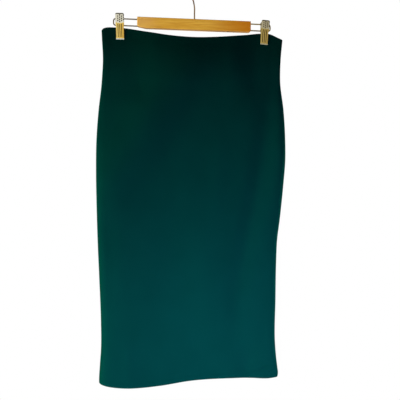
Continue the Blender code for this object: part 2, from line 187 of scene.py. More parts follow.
def doubleKnit(name, deep, light, paintedWaistShade=False):
    # Polyester ponte: two interlocked faces of fine stitches, soft and matt, with a short
    # brushed nap that lifts to a paler green where the cloth turns away.
    material, tree, shader = newMaterial(
        name, Roughness=0.92, Sheen_Weight=0.06, Sheen_Roughness=0.5,
        Sheen_Tint=hexColour("00504a"), Specular_IOR_Level=0.0,
    )
    cut = addNode(tree, "ShaderNodeUVMap", uv_map="cut").outputs[0]
    places = addNode(tree, "ShaderNodeTexCoord").outputs["Object"]
    parts = addNode(tree, "ShaderNodeSeparateXYZ", {"Vector": cut})
    wale = maths(tree, "MULTIPLY", parts.outputs["X"], 2 * math.pi / knit["wale"])
    course = maths(tree, "MULTIPLY", parts.outputs["Y"], 2 * math.pi / knit["course"])
    # The legs of each stitch lean one way, then the other, so the courses zigzag.
    lean = maths(tree, "MULTIPLY", maths(tree, "SINE", wale), knit["lean"])
    stitch = maths(tree, "SINE", maths(tree, "ADD", course, lean))
    rib = maths(tree, "ABSOLUTE", maths(tree, "SINE", maths(tree, "MULTIPLY", wale, 0.5)))
    face = maths(tree, "ADD", maths(tree, "MULTIPLY", stitch, knit["stitchShare"]), rib)
    fuzz = noiseOn(tree, places, 1 / knit["fuzz"], 3.0, 0.6)
    mottle = noiseOn(tree, places, 1 / knit["mottle"], 3.0, 0.55)
    cloudy = maths(tree, "MULTIPLY", mottle, knit["mottleShare"])
    shade = maths(tree, "ADD", cloudy, maths(tree, "MULTIPLY", fuzz, 1 - knit["mottleShare"]))
    colour = blendColour(tree, shade, hexColour(deep), hexColour(light))
    if paintedWaistShade:  # painted shade: the panels darken towards the band
        waistShadeShare = addNode(
            tree, "ShaderNodeMapRange",
            {"Value": parts.outputs["Y"], "From Min": -knit["paintedWaistShade"], "From Max": 0.0},
        )
        waistShadeColour = blendColour(tree, shade, hexColour(knit["bandShadedDeep"]), hexColour(knit["bandShadedLight"]))
        colour = blendColour(tree, waistShadeShare.outputs[0], colour, waistShadeColour)
    tree.links.new(colour, shader.inputs["Base Color"])
    height = maths(tree, "ADD", face, maths(tree, "MULTIPLY", fuzz, knit["fuzzShare"]))
    tree.links.new(bumpFrom(tree, height, knit["relief"]), shader.inputs["Normal"])
    return material


wood = {
    "pale": "d39d3e", "streak": "b0761e", "pore": "804f16",
    # The under colour paints shade on the bar's underside, and gives the end grain its darker colour.
    "pink": "cd985c", "orange": "b06204", "under": "7a5420",
    "tints": ("c48a32", "d8a850"), "tintShare": 0.35,  # broad bands along the bar
    "grainWidth": 0.0016, "grainLength": 0.060,
    "poreWidth": 0.0005, "poreLength": 0.006,
    "bandWidth": 0.00625,
    "grainWander": 0.006,  # m, how far the grain bends up and down
    "halfLength": 0.1275,
    "relief": 0.00006,
}


def varnishedWood():
    # Light hardwood under a clear satin varnish: straight pale grain with short dark pores.
    material, tree, shader = newMaterial(
        "varnished hardwood", Roughness=0.5, IOR=1.5, Specular_IOR_Level=0.15,
        Coat_Weight=0.12, Coat_Roughness=0.3, Coat_IOR=1.5,
    )
    places = addNode(tree, "ShaderNodeTexCoord").outputs["Object"]
    across = 1 / wood["grainWidth"]
    along = 1 / wood["grainLength"]
    bend = noiseOn(tree, stretched(tree, places, (9, 40, 40)), 1.0, 2.0)
    lift = addNode(tree, "ShaderNodeCombineXYZ", {"Z": maths(tree, "MULTIPLY", bend, wood["grainWander"])})
    wavy = addNode(tree, "ShaderNodeVectorMath", {0: places, 1: lift.outputs[0]}, operation="ADD").outputs[0]
    grain = noiseOn(tree, stretched(tree, wavy, (along, across, across)), 1.0, 4.0, 0.62)
    wide = 1 / wood["bandWidth"]
    broad = noiseOn(tree, stretched(tree, wavy, (along, wide, wide)), 0.7, 2.0)
    fine = 1 / wood["poreWidth"]
    pores = noiseOn(tree, stretched(tree, wavy, (1 / wood["poreLength"], fine, fine)), 1.0, 1.0)
    streaks = ramp(tree, grain, (0.38, 0.0), (0.66, 1.0))
    colour = blendColour(tree, streaks, hexColour(wood["pale"]), hexColour(wood["streak"]))
    darker, paler = [hexColour(code) for code in wood["tints"]]
    tint = ramp(tree, broad, (0.35, darker), (0.65, paler))
    colour = blendColour(tree, wood["tintShare"], colour, tint)
    # The bar is pinker at its left end, and a deeper orange at its right one.
    side = addNode(tree, "ShaderNodeSeparateXYZ", {"Vector": places}).outputs["X"]
    ends = {"Value": side, "From Min": -wood["halfLength"], "From Max": wood["halfLength"]}
    share = addNode(tree, "ShaderNodeMapRange", ends).outputs[0]
    uneven = maths(tree, "ADD", share, maths(tree, "MULTIPLY", maths(tree, "SUBTRACT", broad, 0.5), 0.25))
    leftEnd = ramp(tree, uneven, (0.0, 1.0), (0.22, 0.0))
    rightEnd = ramp(tree, uneven, (0.55, 0.0), (1.0, 1.0))
    colour = blendColour(tree, maths(tree, "MULTIPLY", leftEnd, 0.6), colour, hexColour(wood["pink"]))
    colour = blendColour(tree, maths(tree, "MULTIPLY", rightEnd, 0.9), colour, hexColour(wood["orange"]))
    poreShare = ramp(tree, pores, (0.70, 0.0), (0.78, 1.0))
    colour = blendColour(tree, maths(tree, "MULTIPLY", poreShare, 0.55), colour, hexColour(wood["pore"]))
    # painted shade on the underside, and the darker end grain
    under = addNode(tree, "ShaderNodeAttribute", attribute_name="under").outputs["Fac"]
    colour = blendColour(tree, under, colour, hexColour(wood["under"]))
    tree.links.new(colour, shader.inputs["Base Color"])
    height = maths(tree, "SUBTRACT", maths(tree, "MULTIPLY", grain, 0.5), poreShare)
    tree.links.new(bumpFrom(tree, height, wood["relief"], 0.6), shader.inputs["Normal"])
    return material


def platedWire(name, colour, dull):
    # Zinc-plated steel wire, drawn and then tumbled: dull, with a yellowish passivation.
    material, tree, shader = newMaterial(name, Metallic=1.0, Roughness=0.5)
    places = addNode(tree, "ShaderNodeTexCoord").outputs["Object"]
    cloudy = noiseOn(tree, places, 160, 3.0, 0.6)
    drawn = noiseOn(tree, stretched(tree, places, (60, 1600, 1600)), 1.0, 2.0)
    stain = ramp(tree, cloudy, (0.40, 0.0), (0.75, 1.0))
    stained = blendColour(tree, stain, hexColour(colour), hexColour(dull))
    tree.links.new(stained, shader.inputs["Base Color"])
    rough = maths(tree, "ADD", maths(tree, "MULTIPLY", cloudy, 0.28), 0.35)
    tree.links.new(rough, shader.inputs["Roughness"])
    tree.links.new(bumpFrom(tree, drawn, 0.00004), shader.inputs["Normal"])
    return material


plating = {
    "tab": "e8ece7", "gold": "fde58c", "deepGold": "f4cb60", "rim": "e8e5ad", "lip": "dfedf2",
    # The two darkest colours paint shade into dents, grooves and the turned top edge, and dark marks above
    # the lip.
    "shadeAndMarks": "241a08", "dull": "8c8052", "dullShadeAndMarks": "2c2214",
    "relief": 0.00003,
}


def platedSheet(name, dulled):
    # Pressed steel, nickel plated under a yellow lacquer that still shows on the fluted jaw and has
    # worn off the dimpled tab and the lip. Painted shade darkens its dents, its grooves and the
    # tab's top edge where it turns away, and the same dark colour draws marks above the lip.
    material, tree, shader = newMaterial(name, Metallic=1.0, Roughness=0.25)
    places = addNode(tree, "ShaderNodeTexCoord").outputs["Object"]
    zone = addNode(tree, "ShaderNodeAttribute", attribute_name="zone").outputs["Fac"]
    shadeAndMarks = addNode(tree, "ShaderNodeAttribute", attribute_name="shadeAndMarks").outputs["Fac"]
    side = addNode(tree, "ShaderNodeAttribute", attribute_name="side").outputs["Fac"]
    jaw = blendColour(tree, side, hexColour(plating["gold"]), hexColour(plating["deepGold"]))
    colour = blendColour(tree, ramp(tree, zone, (0.08, 1.0), (0.14, 0.0)), jaw, hexColour(plating["lip"]))
    colour = blendColour(tree, ramp(tree, zone, (0.50, 0.0), (0.58, 1.0)), colour, hexColour(plating["rim"]))
    colour = blendColour(tree, ramp(tree, zone, (0.62, 0.0), (0.72, 1.0)), colour, hexColour(plating["tab"]))
    cloudy = noiseOn(tree, places, 210, 4.0, 0.6)
    worn = maths(tree, "MULTIPLY", ramp(tree, cloudy, (0.35, 0.0), (0.70, 1.0)), 0.25)
    dullness = maths(tree, "MAXIMUM", worn, dulled)
    colour = blendColour(tree, dullness, colour, hexColour(plating["dull"]))
    # painted shade for dents, grooves and the turned top edge, and dark marks above the lip
    shadeAndMarksColour = hexColour(plating["dullShadeAndMarks" if dulled else "shadeAndMarks"])
    colour = blendColour(tree, maths(tree, "MULTIPLY", shadeAndMarks, 0.95), colour, shadeAndMarksColour)
    tree.links.new(colour, shader.inputs["Base Color"])
    rough = maths(tree, "ADD", maths(tree, "MULTIPLY", dullness, 0.25), 0.22)
    rough = maths(tree, "MAXIMUM", rough, maths(tree, "MULTIPLY", shadeAndMarks, 0.6))
    tree.links.new(rough, shader.inputs["Roughness"])
    scratch = noiseOn(tree, stretched(tree, places, (2600, 2600, 120)), 1.0, 2.0)
    tree.links.new(bumpFrom(tree, scratch, plating["relief"], 0.5), shader.inputs["Normal"])
    return material


# The panels' knit darkens towards the band with painted shade, and the band's knit is darker all over with
# painted shade.
clothKnit = doubleKnit("bottle green double knit", knit["deep"], knit["light"], paintedWaistShade=True)
shadedBandKnit = doubleKnit("bottle green band knit with painted shade", knit["bandShadedDeep"], knit["bandShadedLight"])
barWood = varnishedWood()
hookMetal = platedWire("zinc plated hook wire", "8c7457", "5f4e3a")
loopMetals = {
    "left": platedWire("zinc plated loop wire", "766a58", "4a4136"),
    "right": platedWire("yellowed loop wire", "8f7f4c", "5a4f28"),
}
clipMetals = {"Left": platedSheet("plated clip sheet", 0.0), "Right": platedSheet("dulled clip sheet", 0.70)}
springMetal = platedWire("tempered spring steel", "57534b", "302e28")
print("materials made")


def showPiece(name, bm, material, node):
    mesh = bpy.data.meshes.new(name)
    bm.to_mesh(mesh)
    bm.free()
    mesh.shade_smooth()
    mesh.materials.append(material)
    piece = bpy.data.objects.new(name, mesh)
    scene.collection.objects.link(piece)
    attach(piece, "root")
    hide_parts(node)
    return piece


def addWall(piece, wall, even=True):
    solidify = piece.modifiers.new("wall", "SOLIDIFY")
    solidify.thickness = wall
    solidify.offset = 1
    solidify.use_even_offset = even


def addRounding(piece, width):
    bevel = piece.modifiers.new("rounding", "BEVEL")
    bevel.width = width
    bevel.segments = 2
    bevel.limit_method = "ANGLE"
    bevel.angle_limit = math.radians(60)


skirt = {
    "cloth": 0.0014,  # thick double knit
    "bandWall": 0.0021,  # the same knit folded round its elastic
    "bandProud": 0.0001,
    "bandHeight": 0.027,
    "bandJoin": 0.00005,  # the panel starts this far under the band
    "crisp": 0.00015,  # rows this close to the join keep its edges from shading round
    "length": 0.766,  # at the front's middle
    "seamGap": 0.0003,
    "seamSharp": 100,  # how late the halves close towards a side seam
    "sideRound": 7.0,  # 2 is an ellipse, and more is a tighter fold at the sides
    "columns": 168,
    "rows": 176,
    "bandColumns": 420,
    "bandRows": 9,
    "hemTurnUp": 0.025,
    "hemSlack": 0.0006,  # between the hem's two layers
    "hemShow": 0.00018,  # the turned-up layer lifts the outer one by this
    "hemShowFade": 0.004,  # as a share of the length
    "seamDitch": 0.0007,  # the side seams sink this much
    "seamSpread": 0.0030,
    "waver": 0.0005,  # high, at a pitch of about 60 mm across and 125 mm down
    "pucker": 0.00012,
    "puckerPitch": 0.0052,
}

# Height and distance from the hook's line, as in the part's source.
leftSide = [
    (-0.117, -0.2063), (-0.145, -0.2050), (-0.180, -0.2034), (-0.233, -0.2060),
    (-0.299, -0.2131), (-0.365, -0.2174), (-0.431, -0.2180), (-0.497, -0.2168),
    (-0.585, -0.2143), (-0.673, -0.2105), (-0.761, -0.2073), (-0.815, -0.2070),
    (-0.860, -0.2098), (-0.885, -0.2113), (-0.900, -0.2113),
]
rightSide = [
    (-0.126, 0.2033), (-0.153, 0.2007), (-0.199, 0.1978), (-0.225, 0.1974),
    (-0.290, 0.2040), (-0.359, 0.2072), (-0.405, 0.2073), (-0.451, 0.2037),
    (-0.543, 0.1945), (-0.589, 0.1887), (-0.635, 0.1867), (-0.726, 0.1853),
    (-0.818, 0.1846), (-0.860, 0.1883), (-0.881, 0.1912), (-0.891, 0.1924), (-0.902, 0.1905),
]
waistEdge = [  # x, z
    (-0.2063, -0.1228), (-0.2040, -0.1197), (-0.2005, -0.1176), (-0.195, -0.1160), (-0.180, -0.1151),
    (-0.154, -0.1161), (-0.110, -0.1222), (-0.065, -0.1283), (0.000, -0.1321), (0.060, -0.1282),
    (0.117, -0.1212), (0.152, -0.1164), (0.175, -0.1172), (0.190, -0.1236),
    (0.203, -0.1290),
]
hemEdge = [  # across, front z, back z
    (-1.00, -0.8945, -0.8945), (-0.93, -0.8988, -0.8985), (-0.85, -0.9020, -0.9000),
    (-0.60, -0.9060, -0.9000), (-0.35, -0.9042, -0.8992), (0.00, -0.8973, -0.8985),
    (0.40, -0.8966, -0.8990), (0.70, -0.8994, -0.9000), (0.90, -0.9018, -0.9010),
    (1.00, -0.9003, -0.9003),
]
depths = [  # level, front's depth and back's at the left side, middle and right, left fold, right fold
    (0.00, (0.0060, 0.0095, 0.0065), (0.0065, 0.0100, 0.0065), 0.000, 0.000),
    (0.16, (0.0065, 0.0140, 0.0115), (0.0110, 0.0165, 0.0115), 0.000, 0.000),
    (0.30, (0.0140, 0.0180, 0.0190), (0.0170, 0.0220, 0.0170), 0.000, 0.000),
    (0.38, (0.0210, 0.0200, 0.0195), (0.0205, 0.0250, 0.0200), 0.001, 0.000),
    (0.50, (0.0300, 0.0210, 0.0195), (0.0230, 0.0250, 0.0200), 0.001, 0.000),
    (0.64, (0.0340, 0.0220, 0.0190), (0.0240, 0.0240, 0.0195), 0.002, 0.000),
    (0.88, (0.0350, 0.0225, 0.0150), (0.0215, 0.0185, 0.0160), 0.004, 0.001),
    (1.00, (0.0390, 0.0210, 0.0090), (0.0205, 0.0165, 0.0155), 0.006, 0.001),
]
clips = [("Left", -0.1666, math.radians(-1.4)), ("Right", 0.1614, math.radians(3.4))]  # side, x, lean
pivotZ = -0.1025  # between the two wires
hold = {
    "z": -0.128,  # the jaws' height
    "flat": 0.0115,  # the cloth lies flat this far to each side of a clip's middle
    "ease": 0.075,  # and opens over this much beside that
    "fade": 0.150,  # and over this much below the band
    "half": skirt["bandWall"] - skirt["bandProud"] + skirt["seamGap"] / 2,
}

# Face, width, rise, then the line (x, z) that the fold follows: the part's own folds first,
# then the finer creases that only show here.
folds = [
    ("front", 0.023, -0.0048,
     ((0.168, -0.165), (0.166, -0.280), (0.157, -0.360), (0.139, -0.470), (0.121, -0.560), (0.101, -0.665),
      (0.086, -0.850))),
    ("front", 0.018, 0.0025,
     ((0.194, -0.190), (0.196, -0.290), (0.192, -0.400), (0.178, -0.520), (0.160, -0.640))),
    ("front", 0.056, 0.0130,
     ((0.010, -0.100), (-0.035, -0.200), (-0.080, -0.270), (-0.115, -0.335), (-0.150, -0.400),
      (-0.185, -0.460), (-0.212, -0.560))),
    ("front", 0.050, 0.0035,
     ((0.020, -0.420), (0.022, -0.560), (0.024, -0.680), (0.030, -0.790), (0.034, -0.890))),
    ("front", 0.026, -0.0030, ((0.125, -0.800), (0.120, -0.860), (0.118, -0.915))),
    ("back", 0.028, -0.0045, ((-0.150, -0.170), (-0.128, -0.330), (-0.108, -0.470), (-0.090, -0.600))),
    ("back", 0.028, -0.0045, ((0.148, -0.170), (0.122, -0.300), (0.086, -0.440), (0.064, -0.570))),
    ("back", 0.052, 0.0040, ((-0.012, -0.300), (-0.004, -0.440), (0.012, -0.600), (0.030, -0.760))),
    ("back", 0.044, 0.0050, ((-0.130, -0.600), (-0.120, -0.740), (-0.112, -0.915))),
    ("back", 0.036, -0.0035, ((0.090, -0.700), (0.098, -0.810), (0.104, -0.915))),
]
creases = [
    ("front", 0.011, -0.0005, ((-0.148, -0.152), (-0.136, -0.200), (-0.118, -0.262), (-0.104, -0.318))),
    ("front", 0.010, 0.0004, ((-0.164, -0.156), (-0.160, -0.215), (-0.158, -0.290))),
    ("front", 0.010, -0.0005, ((-0.184, -0.150), (-0.188, -0.205), (-0.190, -0.262))),
    ("front", 0.012, -0.0006, ((0.146, -0.152), (0.136, -0.205), (0.128, -0.262))),
    ("front", 0.010, 0.0004, ((0.160, -0.158), (0.160, -0.225), (0.157, -0.300))),
    ("front", 0.010, -0.0004, ((0.178, -0.152), (0.184, -0.205), (0.188, -0.270))),
    ("front", 0.016, -0.0014, ((-0.196, -0.430), (-0.188, -0.560), (-0.186, -0.700), (-0.190, -0.830))),
    ("front", 0.028, 0.0030,
     ((0.206, -0.100), (0.210, -0.220), (0.212, -0.340), (0.206, -0.440), (0.200, -0.540))),
    ("front", 0.034, 0.0020,
     ((0.010, -0.140), (-0.020, -0.240), (-0.062, -0.320), (-0.100, -0.400), (-0.130, -0.480))),
    ("front", 0.018, 0.0012, ((0.060, -0.330), (0.050, -0.450), (0.048, -0.560))),
    ("front", 0.011, -0.0022, ((0.172, -0.868), (0.156, -0.880), (0.136, -0.887), (0.110, -0.893))),
    ("front", 0.010, 0.0006, ((0.146, -0.830), (0.132, -0.868), (0.122, -0.915))),
    ("front", 0.007, -0.0012, ((0.188, -0.876), (0.176, -0.886), (0.160, -0.893))),
    ("front", 0.016, 0.0014, ((-0.150, -0.780), (-0.146, -0.850), (-0.144, -0.915))),
    ("back", 0.011, -0.0008, ((-0.146, -0.152), (-0.130, -0.206), (-0.110, -0.270))),
    ("back", 0.010, 0.0011, ((-0.168, -0.156), (-0.166, -0.230), (-0.160, -0.300))),
    ("back", 0.012, -0.0008, ((0.142, -0.152), (0.128, -0.204), (0.112, -0.258))),
    ("back", 0.010, 0.0010, ((0.164, -0.156), (0.166, -0.230), (0.172, -0.292))),
    ("back", 0.016, -0.0014, ((0.180, -0.420), (0.172, -0.560), (0.166, -0.690))),
    ("back", 0.018, 0.0014, ((-0.040, -0.640), (-0.032, -0.760), (-0.030, -0.915))),
    ("back", 0.009, -0.0020, ((-0.168, -0.836), (-0.160, -0.872), (-0.148, -0.890))),
    ("back", 0.010, -0.0016, ((0.040, -0.850), (0.044, -0.884), (0.050, -0.915))),
]

readLeft = smoothCurve(leftSide)
readRight = smoothCurve(rightSide)
readWaist = smoothCurve(waistEdge)
readHem = {
    "front": smoothCurve([(across, front) for across, front, back in hemEdge]),
    "back": smoothCurve([(across, back) for across, front, back in hemEdge]),
}
readDepth = {
    face: [smoothCurve([(row[0], row[column][i]) for row in depths]) for i in range(3)]
    for face, column in (("front", 1), ("back", 2))
}
readFold = [smoothCurve([(row[0], row[side]) for row in depths]) for side in (3, 4)]
foldLines = [
    (face, width, rise, line[0][1], line[-1][1], smoothCurve([(z, x) for x, z in line]))
    for face, width, rise, line in folds + creases
]
clipHolds = []
for clipSide, clipX, clipLean in clips:
    jawX = clipX + math.tan(clipLean) * (hold["z"] - pivotZ)
    clipHolds.append((jawX, readWaist(jawX) - skirt["bandHeight"]))


def sideLines(level):
    left = readLeft(mix(leftSide[0][0], hemEdge[0][1], level))
    right = readRight(mix(rightSide[0][0], hemEdge[-1][1], level))
    return left, right


def depthAt(face, level, across):  # a smooth read through the three stations
    stations = [read(level) for read in readDepth[face]]
    return smoothCurve(zip((-1.0, 0.0, 1.0), stations))(across)


def gripAt(x, z):  # 1 where a clip holds the cloth flat
    held = 0.0
    for jawX, bandFoot in clipHolds:
        beside = 1 - ease((abs(x - jawX) - hold["flat"]) / hold["ease"])
        below = 1 - ease((bandFoot - z) / hold["fade"])
        held = max(held, beside * below)
    return held


def foldRise(face, x, z):
    rise = 0.0
    for foldFace, width, height, top, foot, middle in foldLines:
        if foldFace != face or z > top or z < foot:
            continue
        away = (x - middle(z)) / width
        if abs(away) > 3:
            continue
        along = (top - z) / (top - foot)
        runsOffHem = foot < hemEdge[0][1]
        fade = ease(2 * along) if runsOffHem else math.sin(math.pi * along) ** 1.2
        rise += height * math.exp(-(away**2)) * fade
    return rise


def waverAt(face, x, z):  # slow unevenness of cloth that has been worn and hung
    shift = 3.7 if face == "front" else 9.1  # so that the two faces differ
    return skirt["waver"] * noise.noise(Vector((x * 16 + shift, z * 8, shift)))


def skirtPoint(face, across, level, inset, lift):
    # Across runs from -1 at the left side seam to 1 at the right one, and level from 0 at the
    # waist's top edge to 1 at the hem. Inset moves in from the panels' outer side.
    cap = max(1 - abs(across) ** skirt["sideRound"], 0.0) ** (1 / skirt["sideRound"])
    left, right = sideLines(level)
    half = (right - left) / 2
    fromSeam = math.hypot((1 - abs(across)) * half, cap * depthAt(face, level, across))
    ditch = skirt["seamDitch"] * (1 - ease(fromSeam / skirt["seamSpread"]))
    x = (left + right) / 2 + across * (half - inset - ditch)
    z = mix(readWaist(x), readHem[face](across), level)
    held = gripAt(x, z)
    free = depthAt(face, level, across) - inset + foldRise(face, x, z) + waverAt(face, x, z) + lift
    # Near a side seam the two halves come together, also where a clip holds them flat.
    apart = math.sqrt(max(1 - abs(across) ** skirt["seamSharp"], 0.0))
    depth = mix(free * cap, (hold["half"] - inset + lift) * apart, held)
    gap = skirt["seamGap"] / 2 * apart
    seamY = mix(readFold[0](level), readFold[1](level), (across + 1) / 2)
    out = -1 if face == "front" else 1
    return Vector((x, seamY + out * (depth + gap), z))


def columnsAcross(count):  # even along the cloth, and closer together at the sides
    halfWidth, depth, closer = 0.21, 0.022, 0.25  # of the skirt's section at the hips
    turns = np.linspace(0, math.pi / 2, 4000)
    along = np.cos(turns) ** (2 / skirt["sideRound"])
    out = np.sin(turns) ** (2 / skirt["sideRound"])
    steps = np.hypot(np.diff(along * halfWidth), np.diff(out * depth))
    travelled = np.concatenate([[0], np.cumsum(steps)])
    share = np.linspace(0, 1, count // 2 + 1)
    share = mix(share, share**2, closer)
    across = np.interp(share * travelled[-1], travelled, along)
    arcs = share * travelled[-1]
    fromMiddle = travelled[-1] - arcs
    return [*-across, *across[-2::-1]], [*-fromMiddle, *fromMiddle[-2::-1]]


def clothGrid(face, arcs, rows, lengths, place, closed=False):
    # A grid whose columns run across and whose rows run down, with a UV map of the cut cloth.
    # A closed one is a folded strip: its last row is joined to its first, and its ends are shut.
    bm = bmesh.new()
    bmesh.ops.create_grid(bm, x_segments=len(arcs) - 1, y_segments=len(rows) - 1, size=1)
    cut = bm.loops.layers.uv.new("cut")
    spots = {}
    brims = set()
    for vert in bm.verts:
        i = round((vert.co.x + 1) / 2 * (len(arcs) - 1))
        j = round((1 - vert.co.y) / 2 * (len(rows) - 1))
        spots[vert] = (arcs[i], -lengths[j])
        if j in (0, len(rows) - 1):
            brims.add(vert)
        vert.co = place(i, rows[j])
    for bmFace in bm.faces:
        for loop in bmFace.loops:
            loop[cut].uv = spots[loop.vert]
    if closed:
        loose = [edge for edge in bm.edges if edge.is_boundary]
        bmesh.ops.bridge_loops(bm, edges=[edge for edge in loose if brims.issuperset(edge.verts)])
        bmesh.ops.holes_fill(bm, edges=[edge for edge in bm.edges if edge.is_boundary], sides=0)
        bmesh.ops.recalc_face_normals(bm, faces=bm.faces)
    elif face == "back":
        bmesh.ops.reverse_faces(bm, faces=bm.faces)
    return bm


def panelRows():
    # The outer layer down to the hem, the fold, and the turned-up layer inside.
    top = (skirt["bandHeight"] + skirt["bandJoin"]) / skirt["length"]
    fold = skirt["hemSlack"] / 2
    bottom = 1 - (skirt["cloth"] + fold) / skirt["length"]
    rows = []
    for i in range(skirt["rows"] + 1):
        t = i / skirt["rows"]
        t = mix(t, (1 - math.cos(math.pi * t)) / 2, 0.45)  # closer together at the top and the hem
        rows.append((mix(top, bottom, t), skirt["cloth"]))
    rows.insert(1, (top + skirt["crisp"] / skirt["length"], skirt["cloth"]))
    for i in range(1, 6):
        angle = math.pi * i / 6
        level = bottom + fold * math.sin(angle) / skirt["length"]
        rows.append((level, skirt["cloth"] + fold * (1 - math.cos(angle))))
    for i in range(9):
        level = bottom - skirt["hemTurnUp"] / skirt["length"] * i / 8
        rows.append((level, skirt["cloth"] + 2 * fold))
    lengths = [0.0]
    for before, row in zip(rows, rows[1:]):
        lengths.append(lengths[-1] + abs(row[0] - before[0]) * skirt["length"] + abs(row[1] - before[1]))
    return rows, lengths


def skirtPanel(face):
    across, arcs = columnsAcross(skirt["columns"])
    rows, lengths = panelRows()
    turnUpTop = 1 - skirt["hemTurnUp"] / skirt["length"]

    def place(column, row):
        level, inset = row
        outer = inset == skirt["cloth"]
        lift = skirt["hemShow"] * ease((level - turnUpTop) / skirt["hemShowFade"]) if outer else 0.0
        return skirtPoint(face, across[column], level, inset, lift)

    bm = clothGrid(face, arcs, rows, lengths, place)
    piece = showPiece(f"skirtPanel{face.title()}", bm, clothKnit, f"skirt_{face}")
    addWall(piece, skirt["cloth"])
    return piece


def waistbandHalf(face):
    # Folded over its elastic: the section goes up inside, round the top and down outside.
    across, arcs = columnsAcross(skirt["bandColumns"])
    level = skirt["bandHeight"] / skirt["length"]
    bend = skirt["bandWall"] / 2
    inner = skirt["bandWall"] - skirt["bandProud"]
    steps = [i / skirt["bandRows"] for i in range(skirt["bandRows"] + 1)]
    straight = [mix(bend / skirt["length"], level, step) for step in steps]
    straight.insert(-1, level - skirt["crisp"] / skirt["length"])
    rows = [(row, inner) for row in straight[::-1]]
    for i in range(1, 8):
        angle = math.pi * i / 8
        rows.append((bend * (1 - math.sin(angle)) / skirt["length"], inner - bend * (1 - math.cos(angle))))
    rows += [(row, -skirt["bandProud"]) for row in straight]
    lengths = [0.0]
    for before, row in zip(rows, rows[1:]):
        lengths.append(lengths[-1] + math.hypot((row[0] - before[0]) * skirt["length"], row[1] - before[1]))

    def place(column, row):
        low = row[0] / level
        wander = noise.noise(Vector((arcs[column] * 60, low * 2, 5.0)))
        wave = math.sin(2 * math.pi * arcs[column] / skirt["puckerPitch"] + 4 * wander)
        point = skirtPoint(face, across[column], row[0], row[1], 0.0)
        free = (1 - gripAt(point.x, point.z)) * (1 - abs(across[column]) ** 8)
        out = -1 if face == "front" else 1
        point.y += out * skirt["pucker"] * (wave - 1) * free * math.sin(math.pi * low)
        return point

    bm = clothGrid(face, arcs, rows, lengths, place, closed=True)
    return showPiece(f"waistband{face.title()}", bm, shadedBandKnit, f"waistband_{face}")


for face in ("front", "back"):
    skirtPanel(face)
    waistbandHalf(face)
print("skirt made")


bar = {
    "length": 0.2565, "thickness": 0.012, "height": 0.0241,
    "top": -0.0903,
    "round": 0.0009,
    "corner": 0.0040,
    "cornerReach": 0.0016,  # an edge this close to an end gets the corner's bevel
    "wane": (0.020, 0.0036),  # the left end's shallow cut underneath: length and height
    "holeDepth": 0.004,
    "holeSlack": 0.0005,  # a wire stops this far from its hole's end
    "hole": 0.0017,
    "paintedUnderShade": 0.9, "endShade": 0.75,  # how dark the painted shade on the underside is, and how dark the end grain is
}
loops = {
    "wire": 0.0014, "top": -0.0950, "bottom": -0.1100, "corner": 0.005,
    "left": -0.1800, "right": 0.1745,
}


def cutHole(piece, place, turned):
    radius, depth = bar["hole"], 2 * bar["holeDepth"]
    bm = bmesh.new()
    bmesh.ops.create_cone(bm, cap_ends=True, segments=32, radius1=radius, radius2=radius, depth=depth)
    turn = Matrix.Rotation(math.pi / 2, 4, "Y") if turned else Matrix.Identity(4)
    bmesh.ops.transform(bm, matrix=Matrix.Translation(place) @ turn, verts=bm.verts)
    mesh = bpy.data.meshes.new("drill")
    bm.to_mesh(mesh)
    bm.free()
    drill = bpy.data.objects.new("drill", mesh)
    scene.collection.objects.link(drill)
    boolean = piece.modifiers.new("hole", "BOOLEAN")
    boolean.operation = "DIFFERENCE"
    boolean.object = drill
    return drill


def applyModifiers(piece):
    graph = bpy.context.evaluated_depsgraph_get()
    mesh = bpy.data.meshes.new_from_object(piece.evaluated_get(graph))
    piece.modifiers.clear()
    old = piece.data
    piece.data = mesh
    bpy.data.meshes.remove(old)


def hangerBar():
    foot = bar["top"] - bar["height"]
    bm = bmesh.new()
    bmesh.ops.create_cube(bm, size=1)
    bmesh.ops.scale(bm, vec=(bar["length"], bar["thickness"], bar["height"]), verts=bm.verts)
    bmesh.ops.translate(bm, vec=(0, 0, bar["top"] - bar["height"] / 2), verts=bm.verts)
    length, height = bar["wane"]
    cut = bmesh.ops.bisect_plane(
        bm, geom=bm.verts[:] + bm.edges[:] + bm.faces[:],
        plane_co=(-bar["length"] / 2, 0, foot + height), plane_no=(-height, 0, -length), clear_outer=True,
    )
    rim = [item for item in cut["geom_cut"] if isinstance(item, bmesh.types.BMEdge)]
    bmesh.ops.edgenet_fill(bm, edges=rim)
    bmesh.ops.recalc_face_normals(bm, faces=bm.faces)
    atEnd = bar["length"] / 2 - bar["cornerReach"]
    lower = [
        edge for edge in bm.edges
        if all(abs(vert.co.x) > atEnd and vert.co.z < foot + bar["corner"] for vert in edge.verts)
    ]
    bevel = {"affect": "EDGES", "profile": 0.5, "clamp_overlap": True, "material": -1}
    bmesh.ops.bevel(bm, geom=lower, offset=bar["corner"], segments=6, **bevel)
    sharp = [edge for edge in bm.edges if edge.calc_face_angle() > math.radians(40)]
    bmesh.ops.bevel(bm, geom=sharp, offset=bar["round"], segments=5, **bevel)
    piece = showPiece("woodenBar", bm, barWood, "hanger_bar")
    drills = []
    for end in (-1, 1):
        for z in (loops["top"], loops["bottom"]):
            drills.append(cutHole(piece, (end * bar["length"] / 2, 0, z), True))
    drills.append(cutHole(piece, (0, 0, bar["top"]), False))
    applyModifiers(piece)
    for drill in drills:
        bpy.data.objects.remove(drill)
    piece.data.shade_smooth()
    # Faces turned down get painted shade, and the end grain gets its darker colour.
    under = piece.data.attributes.new("under", "FLOAT", "FACE")
    for polygon in piece.data.polygons:
        below = bar["paintedUnderShade"] * ease((-polygon.normal.z - 0.2) / 0.5)
        endGrain = bar["endShade"] * ease((abs(polygon.normal.x) - 0.4) / 0.5)
        under.data[polygon.index].value = max(below, endGrain)
    normals = piece.modifiers.new("flat faces", "WEIGHTED_NORMAL")
    normals.keep_sharp = True


hangerBar()


def arc(centre, radius, start, end, steps):
    for i in range(steps + 1):
        angle = math.radians(mix(start, end, i / steps))
        yield centre[0] + radius * math.cos(angle), centre[1] + radius * math.sin(angle)


